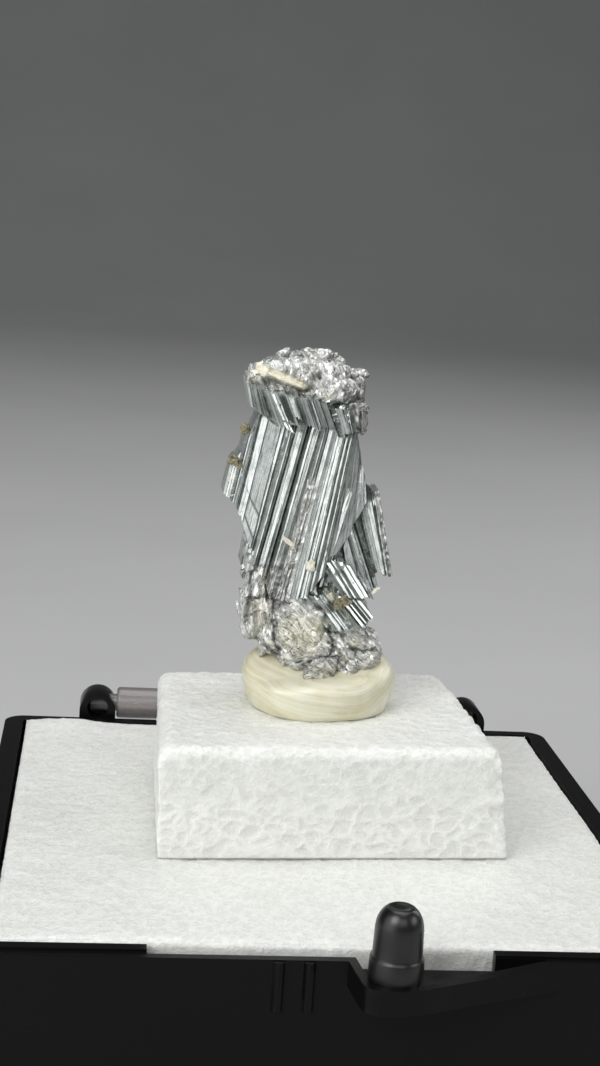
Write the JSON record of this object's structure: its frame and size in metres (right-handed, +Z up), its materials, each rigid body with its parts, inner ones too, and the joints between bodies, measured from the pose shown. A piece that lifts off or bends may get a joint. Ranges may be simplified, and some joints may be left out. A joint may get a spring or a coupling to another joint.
{
  "type": "mounted mineral specimen",
  "caption": "Upright group of striated metallic crystals pressed into putty on a foam block, standing in the foam-lined base of a small square display box.",
  "frame": {"origin": "middle of the box base's flat underside, on the surface it stands on", "axes": "+Z up, -Y towards the latch side the picture is taken from, +X to the right in the picture"},
  "size_m": [0.032, 0.0366, 0.0315],
  "materials": {
    "black_plastic": "glossy black moulded polystyrene",
    "clear_plastic": "clear, faintly smoky polystyrene",
    "white_foam": "closed-cell white foam, cut faces",
    "mineral_putty": "smooth cream putty with a faint sheen",
    "metallic_crystal": "bright metallic steel grey, striated",
    "pale_grain": "dull cream white",
    "brown_grain": "dull brown to tan"
  },
  "bodies": {
    "root": {"box_base": "black_plastic", "hinge_rod": "clear_plastic", "foam_liner": "white_foam", "foam_block": "white_foam", "putty": "mineral_putty", "bournonite": "metallic_crystal", "calcite_rod": "pale_grain", "calcite_grain": "pale_grain", "calcite_curl": "pale_grain", "siderite_tuft": "brown_grain", "siderite_speck": "brown_grain", "siderite_patch": "brown_grain"}
  },
  "joints": []
}
